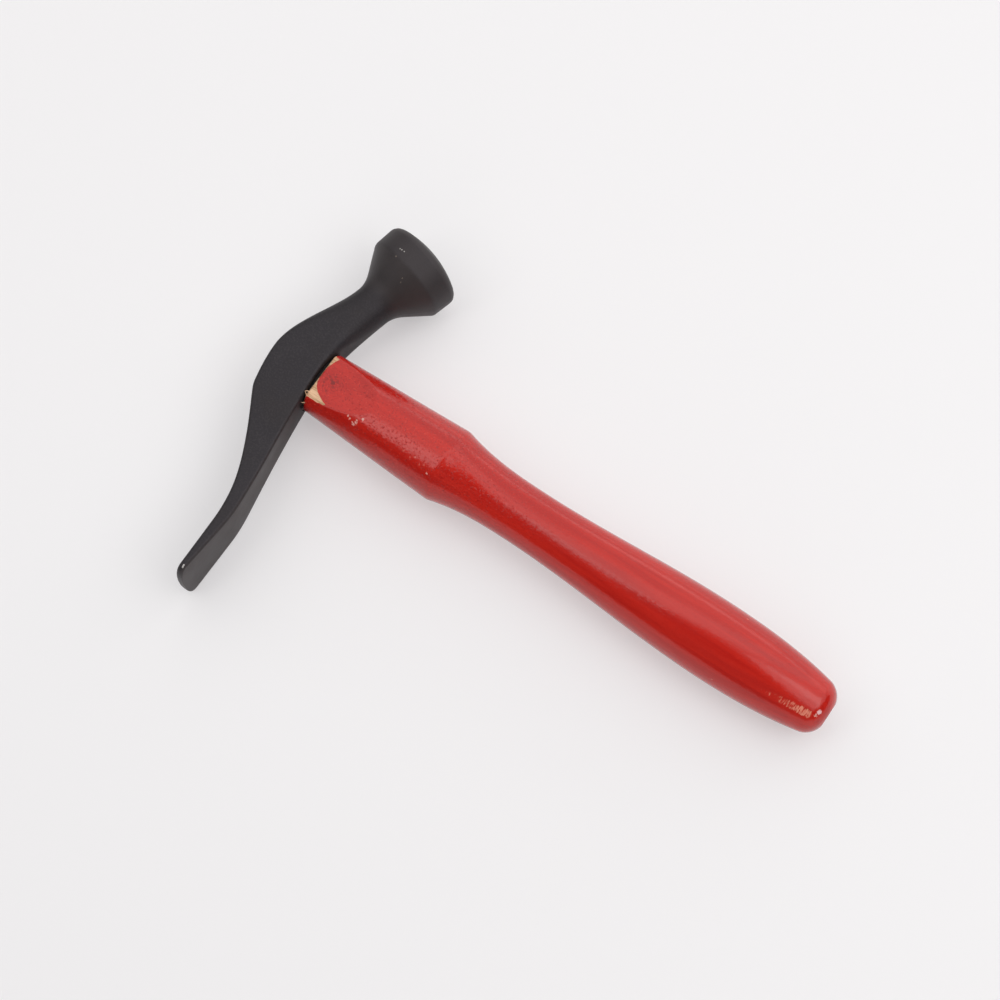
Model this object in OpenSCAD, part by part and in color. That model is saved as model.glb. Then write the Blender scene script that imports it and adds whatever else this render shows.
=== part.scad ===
// Shoemaker's hammer, lying on its side on a bench: a forged head wedged on a turned handle.
// Every piece is drawn along the hammer's own axes, with the middle of the eye at zero: the handle runs along X to
// its butt, the striking face looks along Y, the peen reaches the other way, and the cheeks look up and down Z.
// The whole hammer is then laid down on the three points that it rests on.

/* [Striking face] */
// Diameter of the face at its rim
face_d = 32.4; // [26:0.2:38]
// Slope of the crowned face at its edge, in degrees
crown_edge = 23.5; // [8:0.5:32]
// Width of the rim band, from the flare to the face's edge
rim_w = 9.8; // [6:0.2:13]
// How much smaller the rim band is across its back edge than across the face
rim_draft = 0.5; // [0.2:0.1:3]
// Rounding of the edge between the rim band and the face
rim_ease = 2.8; // [0.6:0.1:4]
// Length of the flare from the neck to the rim band
flare_l = 15; // [11:0.2:22]
// Length over which the flare bends out of the neck, before it goes on straight
flare_bend = 6.6; // [3:0.2:10]

/* [Neck] */
// Diameter of the neck at its thinnest
neck_d = 15.1; // [12:0.1:18]
// Distance of the thinnest place from the eye, along the head
neck_reach = 32.6; // [26:0.2:40]
// How far the thinnest place lies towards the butt
neck_drop = 8.3; // [4:0.1:11]
// Lean of the bell towards the butt, in degrees
bell_lean = 13.8; // [4:0.2:18]

/* [Head body] */
// Width across the cheeks
cheek_w = 15.9; // [14:0.1:20]
// Depth of the body at the eye, from the poll to the handle side
body_depth = 18.2; // [16:0.2:22]
// Slope of the body's middle line at the eye, towards the butt on the peen's side
eye_slope = 0.05; // [0:0.01:0.1]
// Rounding of the long edges of the body and the peen
edge_r = 1.2; // [0.8:0.1:3]

/* [Peen] */
// Distance of the peen's edge from the eye, along the head
peen_reach = 84; // [72:0.2:95]
// How far the peen's edge lies towards the butt
peen_drop = 13.9; // [8:0.1:17]
// Distance from the eye to the place where the drop ends
bend_l = 61.5; // [46:0.5:66]
// Distance from the eye to the place where the body starts to thin into the root
root_start = 1; // [0:0.2:8]
// Distance from the eye to the place where the thick root ends and the blade starts
root_l = 51; // [40:1:58]
// How far the heel stands out behind the root, on the poll's side
heel = 1.4; // [0:0.1:2]
// Distance of the heel from the eye
heel_at = 15.2; // [12:0.2:20]
// Length over which the heel runs out to each side
heel_run = 15.8; // [8:0.2:20]
// Thickness of the blade at its start
blade_t = 5.3; // [4:0.1:7]
// Thickness of the blade at its edge
tip_t = 2.2; // [1.4:0.1:3]
// Width that the blade's sides reach at its edge
tip_w = 28.2; // [20:0.2:30]
// Length of the stretch over which the blade spreads
spread_l = 53.5; // [36:0.5:60]
// Length over which the sides bend outwards, before they go on straight
spread_bend = 13; // [6:1:24]
// Length of the rounded end of the blade
tip_l = 4.1; // [2:0.1:8]

/* [Eye and wedges] */
// Length of the eye along the head, on the handle side
eye_l = 20; // [17:0.5:22]
// Width of the eye between the cheeks, on the handle side
eye_w = 9.6; // [8:0.2:10.6]
// How much wider and longer the eye is at the poll
eye_flare = 1; // [0.4:0.1:1.6]
// Clearance between the tenon and the eye, on each side
eye_clear = 0.05; // [0.02:0.01:0.2]
// How far the tenon and the wedges stop below the poll
poll_flush = 0.3; // [0.1:0.1:1]
// Length of the kerf wedge
wedge_l = 13; // [9:0.5:15]
// Width of the kerf wedge along the eye
wedge_w = 18; // [14:0.5:18]
// Thickness of the kerf wedge at the poll
wedge_t = 2.6; // [1.8:0.1:3.4]
// Thickness of the kerf wedge at its tip
wedge_tip_t = 0.8; // [0.4:0.1:1.2]
// Length of the steel wedge
steel_l = 9; // [6:0.5:11]
// Width of the steel wedge across the eye
steel_w = 7.5; // [6:0.5:8]
// Thickness of the steel wedge at the poll
steel_t = 2.2; // [1.4:0.1:3]
// Thickness of the steel wedge at its tip
steel_tip_t = 0.6; // [0.3:0.1:1]
// Clearance between a wedge and the wood round it, on each side
wedge_clear = 0.03; // [0.02:0.01:0.1]

/* [Handle] */
// Smallest gap between the handle's end and the head
seat_gap = 0.4; // [0.1:0.05:1]
// Length of the handle outside the head
handle_l = 203.4; // [180:0.2:240]
// Diameter at the head end
fore_d = 22.6; // [20:0.1:25]
// Diameter at the shoulder
shoulder_d = 27.2; // [24:0.2:31]
// Distance of the shoulder from the head end
shoulder_l = 52.6; // [44:0.2:62]
// Slope of the side just past the shoulder, towards the waist
shoulder_slope = 0.29; // [0.1:0.01:0.4]
// Diameter of the waist
waist_d = 20.5; // [17:0.1:23]
// Distance of the waist from the head end
waist_l = 85; // [76:0.5:94]
// Diameter of the palm swell
swell_d = 26.7; // [24:0.1:32]
// Distance of the palm swell from the head end
swell_l = 158; // [146:0.5:164]
// Diameter of the ring where the butt's rounding starts
butt_ring_d = 19.5; // [16:0.1:23]
// Slope of the side just before that ring
butt_slope = 0.22; // [0.1:0.01:0.35]
// Diameter of the flat end of the butt
butt_flat_d = 9.2; // [7:0.2:14]
// Length of the butt's rounding
butt_l = 4.9; // [3:0.1:8]
// Bulge of the butt's rounding over a straight cone
butt_bulge = 0.9; // [0.4:0.1:1.6]
// Thickness across the two flats at the head end
flat_t = 14.6; // [13:0.1:17]
// Radius of the hollow in which each flat runs out
flat_r = 70; // [50:1:110]
// Distance from the head end back to the deepest place of that hollow
flat_back = 3.8; // [2:0.1:6]

/* [Hidden] */
$fn = 96;

// Numbers of steps along the curves
corner_steps = 5;
peen_steps = 22;
end_steps = 7;
neck_steps = 12;
flare_steps = 8;
crown_steps = 6;
rim_steps = 4;
poll_steps = 6;
profile_steps = 10;
butt_steps = 5;
// Numbers of sides of the eye's round ends and of the hollows at the flats
eye_sides = 32;
hollow_sides = 200;
// Spare length of a cut past the surface that it opens
over = 1;
// Fullness of the rounded end of the blade, where 2 is an ellipse
end_power = 2.5;
// Share of the last end step's length that is left as the edge's own flat
edge_share = 0.008;
// Slope with which the body and the bell shrink where they run into each other at the neck
run_slope = 0.5;
// Length of the run of the body into the bell, and of the bell into the body
neck_run = 3;
// How far the bell stands out round the corners of the body where they meet
neck_lap = 0.03;
// Part of the neck's radius that its corners are rounded by
neck_round = 0.96;
// Largest part of a side that the rounding of its corner may take
corner_limit = 0.48;

face_r = face_d / 2;
rim_r = face_r - rim_draft / 2;
neck_r = neck_d / 2;
waist_r = neck_r * mix(sqrt(2), 1, neck_round) + neck_lap;
poll_x = -body_depth / 2;
seat_x = body_depth / 2;
seat_at = fore_d / 2 / neck_reach;
head_end_x = seat_gap + max(neck_mid(seat_at) + neck_depth(seat_at) / 2,
                            peen_mid(fore_d / 2) + peen_depth(fore_d / 2) / 2);
butt_x = head_end_x + handle_l;
swell_x = head_end_x + swell_l;
bell_dir = [sin(bell_lean), cos(bell_lean)];
neck_at = [neck_drop, neck_reach];
bell_h = flare_l + rim_w;
face_at = neck_at + bell_h * bell_dir;
crown_r = rim_ease + (face_r - rim_ease) / sin(crown_edge);
crown_h = bell_h - rim_ease - (crown_r - rim_ease) * cos(crown_edge);
flat_sink = flat_r - sqrt(flat_r * flat_r - flat_back * flat_back);

// Curves

function mix(a, b, u) = a + (b - a) * u;

// Goes from 0 to 1 with no slope at either end.
function smooth(u) = let (c = min(1, max(0, u))) c * c * (3 - 2 * c);

// Goes from a to b over the length l, with the slopes that are given at its two ends.
function blend(a, b, slope_a, slope_b, l, u) =
    a * (1 - smooth(u)) + b * smooth(u)
    + l * slope_a * (u - 2 * u * u + u * u * u)
    + l * slope_b * (u * u * u - u * u);

// Goes from 0 to 1 over the length l: it bends over the first stretch and is straight from there.
function ramp(at, bend, l) = at <= 0 ? 0 : (at < bend ? at * at / (2 * bend) : at - bend / 2) / (l - bend / 2);

// The head's middle line, its depth and its width, along the peen at the distance d from the eye

function heel_out(d) = heel * pow(max(0, 1 - abs(d - heel_at) / heel_run), 2);
// The root thins from the body's depth and runs on into the blade's own taper with no break.
function root_depth(d) =
    let (slope = (blade_t - tip_t) / (peen_reach - root_l), l = root_l - root_start)
    d < root_l ? blend(body_depth, blade_t, 0, -slope, l, max(0, (d - root_start) / l))
               : blade_t - slope * (d - root_l);
function peen_mid(d) = blend(0, peen_drop, eye_slope, 0, bend_l, min(1, d / bend_l)) - heel_out(d) / 2;
function peen_depth(d) = root_depth(d) + heel_out(d);
function peen_width(d) = mix(cheek_w, tip_w, ramp(d - peen_reach + spread_l, spread_bend, spread_l));

// The same along the neck, at the part u of the way from the eye to its thinnest place

function neck_mid(u) = blend(0, neck_drop, -eye_slope, tan(bell_lean), neck_reach, u);
function neck_depth(u) = mix(body_depth, neck_d, smooth(u));
function neck_width(u) = mix(cheek_w, neck_d, smooth(u));
function neck_corner(u) = mix(edge_r, neck_r * neck_round, smooth(u));

// A ring of points round the head: a rounded rectangle, square to a line that leans by the angle a from Y.
function ring(at, a, depth, width, r) =
    let (c = min(r, depth * corner_limit, width * corner_limit))
    [for (k = [0:3], i = [0:corner_steps])
        let (t = k * 90 + i * 90 / corner_steps,
             sx = k == 0 || k == 3 ? 1 : -1,
             sz = k < 2 ? 1 : -1,
             p = sx * (depth / 2 - c) + c * cos(t),
             q = sz * (width / 2 - c) + c * sin(t))
        [at[0] + p * cos(a), at[1] - p * sin(a), q]];

function peen_ring(d, width) = ring([peen_mid(d), -d], 0, peen_depth(d), width, edge_r);
function neck_ring(u) =
    ring([neck_mid(u), neck_reach * u], bell_lean * smooth(u), neck_depth(u), neck_width(u), neck_corner(u));
// Past its thinnest place the body goes on into the bell and shrinks.
function run_ring(l) =
    let (d = neck_d - 2 * run_slope * l)
    ring(neck_at + l * bell_dir, bell_lean, d, d, d / 2 * neck_round);

// The rounded end of the blade, from its edge to its full width
function end_share(i) = edge_share + (1 - edge_share) * pow(i / end_steps, 2);
function end_full(s) = pow(1 - pow(1 - s, end_power), 1 / end_power);

body_rings = concat(
    [for (i = [0:end_steps - 1])
        let (s = end_share(i), d = peen_reach - tip_l * s) peen_ring(d, peen_width(d) * end_full(s))],
    [for (i = [0:peen_steps - 1])
        let (d = (peen_reach - tip_l) * (1 - i / peen_steps)) peen_ring(d, peen_width(d))],
    [for (i = [0:neck_steps]) neck_ring(i / neck_steps)],
    [run_ring(neck_run)]);

// Joins rings of equally many points into one closed skin.
module loft(rings) {
    n = len(rings[0]);
    last = len(rings) - 1;
    sides = [for (j = [0:last - 1], i = [0:n - 1], half = [0:1])
        let (a = j * n + i, b = j * n + (i + 1) % n)
        half == 0 ? [a, b, b + n] : [a, b + n, a + n]];
    ends = [[for (i = [n - 1:-1:0]) i], [for (i = [0:n - 1]) last * n + i]];
    polyhedron([for (r = rings) each r], concat(sides, ends));
}

// The bell's outline, as radius and distance from the neck's thinnest place

function flare_r(l) = mix(waist_r, rim_r, ramp(l, flare_bend, flare_l));

module bell() {
    neck_start = [[0, -neck_run], [waist_r - run_slope * neck_run, -neck_run]];
    flare = [for (i = [0:flare_steps]) let (l = flare_l * i / flare_steps) [flare_r(l), l]];
    rim = [for (i = [0:rim_steps])
        let (t = (90 - crown_edge) * i / rim_steps)
        [face_r - rim_ease * (1 - cos(t)), bell_h - rim_ease * (1 - sin(t))]];
    crown = [for (i = [1:crown_steps])
        let (t = crown_edge * (1 - i / crown_steps)) [crown_r * sin(t), crown_h + crown_r * cos(t)]];
    translate(concat(neck_at, 0))
        rotate([-90, 0, -bell_lean])
        rotate_extrude() polygon(concat(neck_start, flare, rim, crown));
}

// The eye: a slot with round ends that widens evenly from the handle side to the poll
module eye_space(shrink) {
    start_x = head_end_x + over;
    depth = start_x - poll_x + over;
    slope = eye_flare / 2 / body_depth;
    r_in = eye_w / 2 - slope * (start_x - seat_x) - shrink;
    r_out = r_in + slope * depth;
    hull() {
        for (side = [-1, 1])
            translate([start_x, side * (eye_l - eye_w) / 2, 0])
                rotate([0, -90, 0])
                cylinder(h = depth, r1 = r_in, r2 = r_out, $fn = eye_sides);
    }
}

// All that lies on the handle's side of the poll, at the depth given below it
module under_poll(depth) {
    reach = eye_l / 2 + eye_flare;
    edge = [for (i = [-poll_steps:poll_steps])
        let (y = reach * i / poll_steps,
             x = y < 0 ? peen_mid(-y) - peen_depth(-y) / 2
                       : neck_mid(y / neck_reach) - neck_depth(y / neck_reach) / 2)
        [x + depth, y]];
    linear_extrude(cheek_w, center = true)
        polygon(concat(edge, [[head_end_x + over, reach], [head_end_x + over, -reach]]));
}

// The wedges, as outlines along X that taper from the poll inwards

function taper(l, t, tip, grow) = [
    [poll_x - over, t / 2 + grow], [poll_x, t / 2 + grow], [poll_x + l + grow, tip / 2 + grow],
    [poll_x + l + grow, -tip / 2 - grow], [poll_x, -t / 2 - grow], [poll_x - over, -t / 2 - grow]];

module kerf_taper(grow, width) {
    rotate([90, 0, 0])
        linear_extrude(width, center = true) polygon(taper(wedge_l, wedge_t, wedge_tip_t, grow));
}

module steel_taper(grow) {
    linear_extrude(steel_w + 2 * grow, center = true) polygon(taper(steel_l, steel_t, steel_tip_t, grow));
}

// The handle's outline, as radius and distance from the head end

module turned_handle() {
    fore = [[0, 0], [fore_d / 2, 0]];
    neck_l = waist_l - shoulder_l;
    grip_l = swell_l - waist_l;
    ring_l = handle_l - butt_l;
    tail_l = ring_l - swell_l;
    butt_drop = (butt_ring_d - butt_flat_d) / 2;
    butt_slant = norm([butt_drop, butt_l]);
    to_waist = [for (i = [0:profile_steps - 1])
        let (u = i / profile_steps)
        [blend(shoulder_d, waist_d, -2 * shoulder_slope, 0, neck_l, u) / 2, shoulder_l + neck_l * u]];
    to_swell = [for (i = [0:profile_steps - 1])
        let (u = i / profile_steps) [mix(waist_d, swell_d, smooth(u)) / 2, waist_l + grip_l * u]];
    to_ring = [for (i = [0:profile_steps])
        let (u = i / profile_steps)
        [blend(swell_d, butt_ring_d, 0, -2 * butt_slope, tail_l, u) / 2, swell_l + tail_l * u]];
    round_end = [for (i = [1:butt_steps])
        let (u = i / butt_steps, bulge = 4 * butt_bulge * u * (1 - u))
        [butt_ring_d / 2 - butt_drop * u + bulge * butt_l / butt_slant,
            ring_l + butt_l * u + bulge * butt_drop / butt_slant]];
    translate([head_end_x, 0, 0])
        rotate([0, 90, 0])
        rotate_extrude() polygon(concat(fore, to_waist, to_swell, to_ring, round_end, [[0, handle_l]]));
}

// The hollow cut that leaves a flat on the top or the bottom of the handle's head end
module flat_cut(side) {
    translate([head_end_x - flat_back, 0, side * (flat_t / 2 + flat_r - flat_sink)])
        rotate([90, 0, 0])
        cylinder(r = flat_r, h = 2 * fore_d, center = true, $fn = hollow_sides);
}

// Rest on the bench: the face's rim, the lower corner of the peen and the palm swell each touch it

rim_rest = concat(face_at - rim_ease * bell_dir, face_r);
tip_rest = [peen_mid(peen_reach - tip_l), tip_l - peen_reach, peen_width(peen_reach - tip_l) / 2];
swell_rest = [swell_x, 0, swell_d / 2];
rest_normal = cross(rim_rest - swell_rest, tip_rest - swell_rest);
rest_slope_x = -rest_normal[0] / rest_normal[2];
rest_slope_y = -rest_normal[1] / rest_normal[2];
rest_h = swell_d / 2 - rest_slope_x * swell_x;
mid_x = (butt_x + poll_x) / 2;
// The face's furthest place along Y lies on its crown, or on its rounded edge where the bell leans more
face_y = neck_reach + (bell_lean < crown_edge
    ? crown_h * cos(bell_lean) + crown_r
    : (bell_h - rim_ease) * cos(bell_lean) + (face_r - rim_ease) * sin(bell_lean) + rim_ease);
mid_y = (face_y - peen_reach) / 2;

module at_rest() {
    translate([-mid_x, -mid_y, rest_h])
        rotate([atan(rest_slope_y), -atan(rest_slope_x), 0])
        children();
}

// Pieces

module head() {
    color([0.20, 0.19, 0.20])
        at_rest()
        difference() {
            union() {
                loft(body_rings);
                bell();
            }
            eye_space(0);
        }
}

module handle() {
    color([0.70, 0.16, 0.13])
        at_rest()
        difference() {
            union() {
                difference() {
                    turned_handle();
                    for (side = [-1, 1]) flat_cut(side);
                }
                intersection() {
                    eye_space(eye_clear);
                    under_poll(poll_flush);
                }
            }
            kerf_taper(wedge_clear, eye_l + 2 * eye_flare);
            steel_taper(wedge_clear);
        }
}

module kerf_wedge() {
    color([0.80, 0.66, 0.45])
        at_rest()
        difference() {
            intersection() {
                kerf_taper(0, wedge_w);
                under_poll(poll_flush);
            }
            steel_taper(wedge_clear);
        }
}

module steel_wedge() {
    color([0.55, 0.55, 0.56])
        at_rest()
        intersection() {
            steel_taper(0);
            under_poll(poll_flush);
        }
}

head();
handle();
kerf_wedge();
steel_wedge();
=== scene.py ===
# Shoemaker's hammer lying on a pale bench: a black forged head on a red turned handle, worn at the joint
import math

import bmesh
import bpy
from mathutils import Matrix, Vector, noise


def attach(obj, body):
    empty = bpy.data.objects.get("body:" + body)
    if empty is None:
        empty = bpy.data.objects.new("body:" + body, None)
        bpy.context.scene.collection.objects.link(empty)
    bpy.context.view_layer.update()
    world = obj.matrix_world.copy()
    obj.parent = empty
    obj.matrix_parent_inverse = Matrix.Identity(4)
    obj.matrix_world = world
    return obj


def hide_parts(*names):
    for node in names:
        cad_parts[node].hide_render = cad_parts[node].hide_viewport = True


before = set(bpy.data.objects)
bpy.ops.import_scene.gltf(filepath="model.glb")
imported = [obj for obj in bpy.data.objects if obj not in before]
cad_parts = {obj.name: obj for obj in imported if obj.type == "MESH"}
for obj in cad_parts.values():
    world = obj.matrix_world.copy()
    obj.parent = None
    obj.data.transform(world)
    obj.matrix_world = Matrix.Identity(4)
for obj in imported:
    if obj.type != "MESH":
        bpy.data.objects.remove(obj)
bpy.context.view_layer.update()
MM = 0.001

# Sizes in millimetres. The hammer's own axes run from the middle of its eye, X to the butt and Y to the face
FACE_R = 16.2
CROWN_EDGE = math.radians(23.5)
RIM_W = 9.8
RIM_R = 15.95
RIM_EASE = 2.8
BAND_EASE = 0.7
FLARE_L = 15.0
FLARE_BEND = 6.6
NECK_R = 7.55
NECK_REACH = 32.6
NECK_DROP = 8.3
BELL_LEAN = math.radians(13.8)
CHEEK_W = 15.9
BODY_DEPTH = 18.2
EYE_SLOPE = 0.05
EDGE_R = 1.2
PEEN_REACH = 84.0
PEEN_DROP = 13.9
BEND_L = 61.5
ROOT_START = 1.0
ROOT_L = 51.0
HEEL = 1.4
HEEL_AT = 15.2
HEEL_RUN = 15.8
HEEL_EASE = 1.0
BLADE_T = 5.3
TIP_T = 2.2
TIP_W = 28.2
SPREAD_L = 53.5
SPREAD_BEND = 13.0
TIP_L = 4.1
END_POWER = 2.5
EYE_L = 20.0
EYE_W = 9.6
EYE_FLARE = 1.0
EYE_CLEAR = 0.05
POLL_FLUSH = 0.3
WEDGE_L = 13.0
WEDGE_T = 2.6
WEDGE_TIP_T = 0.8
STEEL_L = 9.0
STEEL_W = 7.5
STEEL_T = 2.2
STEEL_TIP_T = 0.6
WEDGE_CLEAR = 0.03
SEAT_GAP = 0.4
HANDLE_L = 203.4
FORE_D = 22.6
SHOULDER_D = 27.2
SHOULDER_L = 52.6
SHOULDER_SLOPE = 0.29
SHOULDER_EASE = 0.9
WAIST_D = 20.5
WAIST_L = 85.0
SWELL_D = 26.7
SWELL_L = 158.0
RING_D = 19.5
BUTT_SLOPE = 0.22
BUTT_FLAT_D = 9.2
BUTT_L = 4.9
BUTT_BULGE = 0.9
FLAT_T = 14.6
FLAT_R = 70.0
FLAT_BACK = 3.8
FLAT_EASE = 0.25
END_WEAR = 0.5
END_WEAR_L = 0.8
FLAT_WEAR = 0.3
FLAT_WEAR_L = 0.6
DENT_HEAD = 0.10
DENT_HEAD_WAVE = 16.0
DENT_HEAD_SEED = 3.0
DENT_HANDLE = 0.09
DENT_HANDLE_WAVE = 22.0
DENT_HANDLE_SEED = 9.0

# Angles in degrees above which an edge between two faces looks sharp
SHARP = 35
SHARP_HEAD = 50
SHARP_ROUND = 60


# Curves

def mix(a, b, u):
    return a + (b - a) * u


def smooth(u):
    c = min(1.0, max(0.0, u))
    return c * c * (3 - 2 * c)


def blend(a, b, slope_a, slope_b, length, u):
    """Goes from a to b over the length, with the slopes that are given at its two ends."""
    return (a * (1 - smooth(u)) + b * smooth(u)
            + length * slope_a * (u - 2 * u * u + u ** 3)
            + length * slope_b * (u ** 3 - u * u))


def ramp(at, bend, length):
    """Goes from 0 to 1 over the length: it bends over the first stretch and is straight from there."""
    if at <= 0:
        return 0.0
    run = at * at / (2 * bend) if at < bend else at - bend / 2
    return run / (length - bend / 2)


def soft_min(a, b, k):
    """The smaller of two values, rounded where they meet."""
    h = max(k - abs(a - b), 0.0) / k
    return min(a, b) - h * h * k / 4


# The head's middle line, depth and width: d is a distance from the eye, u a share of the way to the neck

def heel_out(d):
    return HEEL * max(0.0, 1 - math.hypot(d - HEEL_AT, HEEL_EASE) / HEEL_RUN) ** 2


def peen_mid(d):
    return blend(0, PEEN_DROP, EYE_SLOPE, 0, BEND_L, min(1, d / BEND_L)) - heel_out(d) / 2


def peen_depth(d):
    slope = (BLADE_T - TIP_T) / (PEEN_REACH - ROOT_L)
    length = ROOT_L - ROOT_START
    if d < ROOT_L:
        u = max(0.0, (d - ROOT_START) / length)
        return heel_out(d) + blend(BODY_DEPTH, BLADE_T, 0, -slope, length, u)
    return BLADE_T - slope * (d - ROOT_L)


def peen_width(d):
    return mix(CHEEK_W, TIP_W, ramp(d - PEEN_REACH + SPREAD_L, SPREAD_BEND, SPREAD_L))


def neck_mid(u):
    return blend(0, NECK_DROP, -EYE_SLOPE, math.tan(BELL_LEAN), NECK_REACH, u)


def neck_depth(u):
    return mix(BODY_DEPTH, 2 * NECK_R, smooth(u))


SEAT_AT = FORE_D / 2 / NECK_REACH
HEAD_END = SEAT_GAP + max(neck_mid(SEAT_AT) + neck_depth(SEAT_AT) / 2,
                          peen_mid(FORE_D / 2) + peen_depth(FORE_D / 2) / 2)
POLL_X = -BODY_DEPTH / 2
SEAT_X = BODY_DEPTH / 2
BELL_DIR = Vector((math.sin(BELL_LEAN), math.cos(BELL_LEAN), 0))
NECK_AT = Vector((NECK_DROP, NECK_REACH, 0))
BELL_H = FLARE_L + RIM_W
CROWN_R = RIM_EASE + (FACE_R - RIM_EASE) / math.sin(CROWN_EDGE)
CROWN_H = BELL_H - RIM_EASE - (CROWN_R - RIM_EASE) * math.cos(CROWN_EDGE)


def rest_place():
    """Lays the hammer on the rim of its face, the lower corner of its peen and its palm swell."""
    end_d = PEEN_REACH - TIP_L
    rim = NECK_AT + BELL_DIR * (BELL_H - RIM_EASE) + Vector((0, 0, FACE_R))
    tip = Vector((peen_mid(end_d), -end_d, peen_width(end_d) / 2))
    swell = Vector((HEAD_END + SWELL_L, 0, SWELL_D / 2))
    normal = (rim - swell).cross(tip - swell)
    slope_x = -normal.x / normal.z
    slope_y = -normal.y / normal.z
    mid_x = (HEAD_END + HANDLE_L + POLL_X) / 2
    mid_y = (NECK_REACH + CROWN_H * math.cos(BELL_LEAN) + CROWN_R - PEEN_REACH) / 2
    move = Matrix.Translation((-mid_x, -mid_y, SWELL_D / 2 - slope_x * swell.x))
    turn = Matrix.Rotation(-math.atan(slope_x), 4, "Y") @ Matrix.Rotation(math.atan(slope_y), 4, "X")
    return Matrix.Scale(MM, 4) @ move @ turn


PLACE = rest_place()


# Meshes

def new_mesh(name, points, faces, material, sharp=SHARP):
    """Makes a piece from points along the hammer's own axes, laid down on the bench."""
    mesh = bpy.data.meshes.new(name)
    mesh.from_pydata([PLACE @ Vector(p) for p in points], [], faces)
    mesh.validate()
    shape = bmesh.new()
    shape.from_mesh(mesh)
    bmesh.ops.recalc_face_normals(shape, faces=shape.faces)
    shape.to_mesh(mesh)
    shape.free()
    mesh.update()
    piece = bpy.data.objects.new(name, mesh)
    bpy.context.scene.collection.objects.link(piece)
    mesh.materials.append(material)
    mesh.shade_smooth()
    mesh.set_sharp_from_angle(angle=math.radians(sharp))
    return piece


def mark(piece, name, values):
    """Keeps one number per point, for the paint."""
    layer = piece.data.attributes.new(name, "FLOAT", "POINT")
    layer.data.foreach_set("value", values)


def dress(piece, replaced=None):
    """Puts a piece on the hammer's one body and hides the solid that it stands for, if any."""
    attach(piece, "root")
    if replaced:
        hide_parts(replaced)


def loft(rings, close_start=True, close_end=True):
    """Points and faces of a skin over rings of equally many points."""
    n = len(rings[0])
    points = [p for ring in rings for p in ring]
    faces = []
    for j in range(len(rings) - 1):
        for i in range(n):
            a = j * n + i
            b = j * n + (i + 1) % n
            faces.append((a, b, b + n, a + n))
    if close_start:
        faces.append(tuple(range(n - 1, -1, -1)))
    if close_end:
        last = (len(rings) - 1) * n
        faces.append(tuple(last + i for i in range(n)))
    return points, faces


def cut(piece, tools, sharp=SHARP):
    """Takes the tools' volumes out of a piece and deletes the tools."""
    for tool in tools:
        step = piece.modifiers.new("cut", "BOOLEAN")
        step.operation = "DIFFERENCE"
        step.solver = "EXACT"
        step.object = tool
    graph = bpy.context.evaluated_depsgraph_get()
    done = bpy.data.meshes.new_from_object(piece.evaluated_get(graph))
    piece.modifiers.clear()
    old = piece.data
    piece.data = done
    bpy.data.meshes.remove(old)
    done.set_sharp_from_angle(angle=math.radians(sharp))
    for tool in tools:
        mesh = tool.data
        bpy.data.objects.remove(tool)
        bpy.data.meshes.remove(mesh)


def dented(rings, wave, depth, seed):
    """Pulls each point of the rings in towards its ring's middle by a slow uneven amount."""
    out = []
    for ring in rings:
        mid = sum(ring, Vector()) / len(ring)
        moved = []
        for p in ring:
            away = p - mid
            dent = depth * (0.5 + 0.5 * noise.noise(p / wave + Vector((seed, 0, 0))))
            moved.append(p - away.normalized() * min(dent, away.length / 4))
        out.append(moved)
    return out


# Places on the handle, as distance along it in millimetres and angle round it in degrees

def handle_r(x):
    """Radius at the distance x from the handle's head end."""
    if x < SHOULDER_L:
        return mix(FORE_D, SHOULDER_D, x / SHOULDER_L) / 2
    if x < WAIST_L:
        length = WAIST_L - SHOULDER_L
        return blend(SHOULDER_D, WAIST_D, -2 * SHOULDER_SLOPE, 0, length, (x - SHOULDER_L) / length) / 2
    if x < SWELL_L:
        return mix(WAIST_D, SWELL_D, smooth((x - WAIST_L) / (SWELL_L - WAIST_L))) / 2
    length = HANDLE_L - BUTT_L - SWELL_L
    return blend(SWELL_D, RING_D, 0, -2 * BUTT_SLOPE, length, (x - SWELL_L) / length) / 2


def eased_r(x):
    """The same with the shoulder's edge rounded a little, as paint does."""
    if abs(x - SHOULDER_L) >= SHOULDER_EASE:
        return handle_r(x)
    u = (x - SHOULDER_L + SHOULDER_EASE) / (2 * SHOULDER_EASE)
    start = handle_r(SHOULDER_L - SHOULDER_EASE)
    end = handle_r(SHOULDER_L + SHOULDER_EASE)
    return (1 - u) ** 2 * start + 2 * u * (1 - u) * handle_r(SHOULDER_L) + u * u * end


def flat_z(x):
    """Height of the hollow flat over the handle's middle line."""
    sink = FLAT_R - math.sqrt(FLAT_R ** 2 - FLAT_BACK ** 2)
    run = min(x + FLAT_BACK, FLAT_R - 1)
    return FLAT_T / 2 - sink + FLAT_R - math.sqrt(FLAT_R ** 2 - run ** 2)


def on_handle(x, degrees, lift=0.0):
    """A point of the handle's surface along the hammer's own axes."""
    a = math.radians(degrees)
    r = handle_r(x)
    if abs(math.cos(a)) > 0.05:
        r = min(r, flat_z(x) / abs(math.cos(a)))
    r += lift
    return Vector((HEAD_END + x, r * math.sin(a), r * math.cos(a)))


def on_flat(x, y):
    """A point of the upper flat, from places along the hammer's own axes."""
    return Vector((x, y, flat_z(x - HEAD_END)))


# Node trees

SPOT_OUTSIDE = 1.05
SPOT_INSIDE = 0.75


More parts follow.
